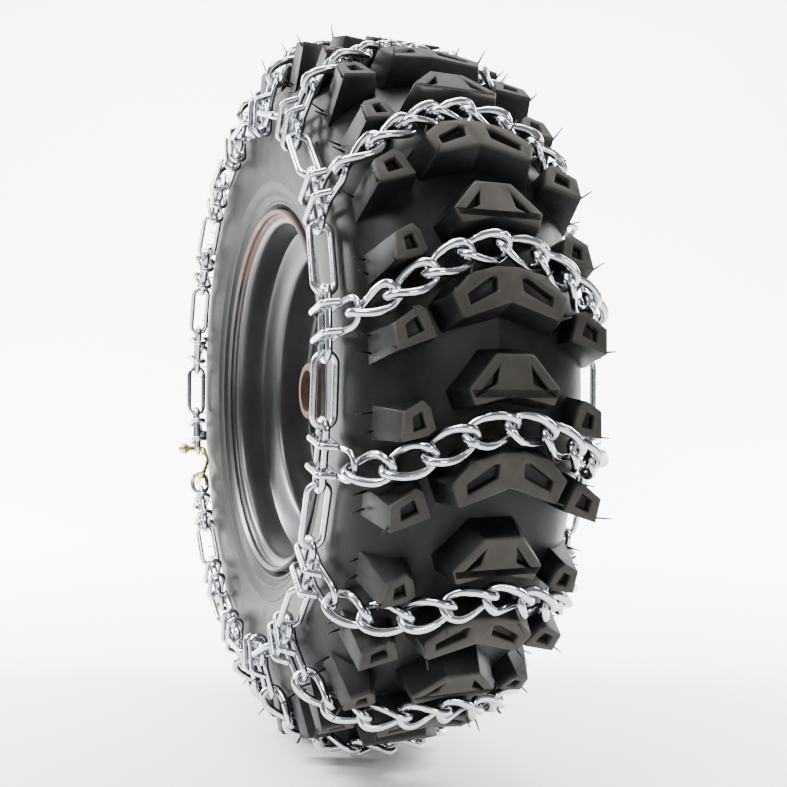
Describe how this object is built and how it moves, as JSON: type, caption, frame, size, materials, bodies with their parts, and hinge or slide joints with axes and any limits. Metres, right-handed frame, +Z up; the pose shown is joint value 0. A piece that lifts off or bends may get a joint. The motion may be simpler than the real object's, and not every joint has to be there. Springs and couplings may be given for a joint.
{
  "type": "tire snow chains",
  "caption": "Ladder tyre chain on a lugged snow-blower wheel: two side chains, hooked twisted-link cross chains and side fasteners.",
  "frame": {"origin": "wheel centre, on the axle's axis midway across the tyre", "axes": "+Y along the axle towards the inner side, +Z up, +X completes the right hand"},
  "size_m": [0.4146, 0.1638, 0.4191],
  "materials": {
    "tyre_rubber": "moulded black rubber, dusty lug tops",
    "rim_steel": "satin grey coated steel",
    "hub_steel": "bare tube, lightly rusted",
    "valve_rubber": "matt black rubber",
    "cap_plastic": "matt black plastic",
    "chain_zinc": "bright zinc plate",
    "fastener_zinc": "yellow passivated zinc plate"
  },
  "bodies": {
    "wheel": {"tyre": "tyre_rubber", "rim_outer_half": "rim_steel", "rim_inner_half": "rim_steel", "hub_tube": "hub_steel", "valve_stem": "valve_rubber"},
    "valve_cap": {"valve_cap": "cap_plastic"},
    "chain_net": {"outer_hook_links": "chain_zinc", "outer_flat_links": "chain_zinc", "outer_cross_hooks": "chain_zinc", "inner_hook_links": "chain_zinc", "inner_flat_links": "chain_zinc", "inner_cross_hooks": "chain_zinc"},
    "outer_fastener": {"outer_fastener_hook": "fastener_zinc"},
    "inner_fastener": {"inner_fastener_hook": "fastener_zinc"},
    "cross_chain_01": {"cross_chain_01": "chain_zinc"},
    "cross_chain_02": {"cross_chain_02": "chain_zinc"},
    "cross_chain_03": {"cross_chain_03": "chain_zinc"},
    "cross_chain_04": {"cross_chain_04": "chain_zinc"},
    "cross_chain_05": {"cross_chain_05": "chain_zinc"},
    "cross_chain_06": {"cross_chain_06": "chain_zinc"},
    "cross_chain_07": {"cross_chain_07": "chain_zinc"},
    "cross_chain_08": {"cross_chain_08": "chain_zinc"},
    "cross_chain_09": {"cross_chain_09": "chain_zinc"},
    "cross_chain_10": {"cross_chain_10": "chain_zinc"},
    "cross_chain_11": {"cross_chain_11": "chain_zinc"},
    "cross_chain_12": {"cross_chain_12": "chain_zinc"},
    "cross_chain_13": {"cross_chain_13": "chain_zinc"},
    "cross_chain_14": {"cross_chain_14": "chain_zinc"},
    "cross_chain_15": {"cross_chain_15": "chain_zinc"},
    "cross_chain_16": {"cross_chain_16": "chain_zinc"}
  },
  "joints": [
    {"name": "valve_cap_unscrew", "type": "hinge", "parent": "wheel", "child": "valve_cap", "pos_m": [0.06, -0.013, 0], "axis": [1, 0, 0], "continuous": true},
    {"name": "chain_creep", "type": "hinge", "parent": "wheel", "child": "chain_net", "pos_m": [0, 0, 0], "axis": [0, 1, 0], "range_deg": [-0.2, 0.2]},
    {"name": "outer_fastener_open", "type": "hinge", "parent": "chain_net", "child": "outer_fastener", "pos_m": [-0.14683, -0.0682, -0.04014], "axis": [0, -1, 0], "range_deg": [0, 50]},
    {"name": "inner_fastener_open", "type": "hinge", "parent": "chain_net", "child": "inner_fastener", "pos_m": [-0.14868, 0.0682, -0.04087], "axis": [0, -1, 0], "range_deg": [0, 50]},
    {"name": "cross_chain_01_rock", "type": "hinge", "parent": "chain_net", "child": "cross_chain_01", "pos_m": [0.17623, -0.06016, 0.03265], "axis": [-0.0117, 0.9999, -0.0034], "range_deg": [-0.9, 0.9]},
    {"name": "cross_chain_02_rock", "type": "hinge", "parent": "chain_net", "child": "cross_chain_02", "pos_m": [0.15513, -0.05943, 0.10068], "axis": [-0.0496, 0.9982, -0.0332], "range_deg": [-0.9, 0.9]},
    {"name": "cross_chain_03_rock", "type": "hinge", "parent": "chain_net", "child": "cross_chain_03", "pos_m": [0.10558, -0.05928, 0.15323], "axis": [-0.0397, 0.9976, -0.0568], "range_deg": [-0.9, 0.9]},
    {"name": "cross_chain_04_rock", "type": "hinge", "parent": "chain_net", "child": "cross_chain_04", "pos_m": [0.03799, -0.0599, 0.17723], "axis": [-0.0073, 0.9996, -0.0281], "range_deg": [-0.9, 0.9]},
    {"name": "cross_chain_05_rock", "type": "hinge", "parent": "chain_net", "child": "cross_chain_05", "pos_m": [-0.03194, -0.06052, 0.17349], "axis": [-0.0025, 0.9999, 0.0109], "range_deg": [-0.9, 0.9]},
    {"name": "cross_chain_06_rock", "type": "hinge", "parent": "chain_net", "child": "cross_chain_06", "pos_m": [-0.0956, -0.0606, 0.14749], "axis": [-0.0089, 0.9999, 0.0138], "range_deg": [-0.9, 0.9]},
    {"name": "cross_chain_07_rock", "type": "hinge", "parent": "chain_net", "child": "cross_chain_07", "pos_m": [-0.14477, -0.0606, 0.09968], "axis": [-0.0135, 0.9999, 0.0093], "range_deg": [-0.9, 0.9]},
    {"name": "cross_chain_08_rock", "type": "hinge", "parent": "chain_net", "child": "cross_chain_08", "pos_m": [-0.17189, -0.0606, 0.03669], "axis": [-0.0161, 0.9999, 0.0034], "range_deg": [-0.9, 0.9]},
    {"name": "cross_chain_09_rock", "type": "hinge", "parent": "chain_net", "child": "cross_chain_09", "pos_m": [-0.17285, -0.0606, -0.03188], "axis": [-0.0161, 0.9999, -0.003], "range_deg": [-0.9, 0.9]},
    {"name": "cross_chain_10_rock", "type": "hinge", "parent": "chain_net", "child": "cross_chain_10", "pos_m": [-0.14749, -0.0606, -0.0956], "axis": [-0.0138, 0.9999, -0.0089], "range_deg": [-0.9, 0.9]},
    {"name": "cross_chain_11_rock", "type": "hinge", "parent": "chain_net", "child": "cross_chain_11", "pos_m": [-0.09968, -0.0606, -0.14477], "axis": [-0.0093, 0.9999, -0.0135], "range_deg": [-0.9, 0.9]},
    {"name": "cross_chain_12_rock", "type": "hinge", "parent": "chain_net", "child": "cross_chain_12", "pos_m": [-0.03669, -0.0606, -0.17189], "axis": [-0.0034, 0.9999, -0.0161], "range_deg": [-0.9, 0.9]},
    {"name": "cross_chain_13_rock", "type": "hinge", "parent": "chain_net", "child": "cross_chain_13", "pos_m": [0.03188, -0.0606, -0.17285], "axis": [0.003, 0.9999, -0.0161], "range_deg": [-0.9, 0.9]},
    {"name": "cross_chain_14_rock", "type": "hinge", "parent": "chain_net", "child": "cross_chain_14", "pos_m": [0.0956, -0.0606, -0.14749], "axis": [0.0089, 0.9999, -0.0138], "range_deg": [-0.9, 0.9]},
    {"name": "cross_chain_15_rock", "type": "hinge", "parent": "chain_net", "child": "cross_chain_15", "pos_m": [0.14477, -0.0606, -0.09968], "axis": [0.0135, 0.9999, -0.0093], "range_deg": [-0.9, 0.9]},
    {"name": "cross_chain_16_rock", "type": "hinge", "parent": "chain_net", "child": "cross_chain_16", "pos_m": [0.17201, -0.06058, -0.03671], "axis": [0.0151, 0.9999, -0.0033], "range_deg": [-0.9, 0.9]}
  ]
}
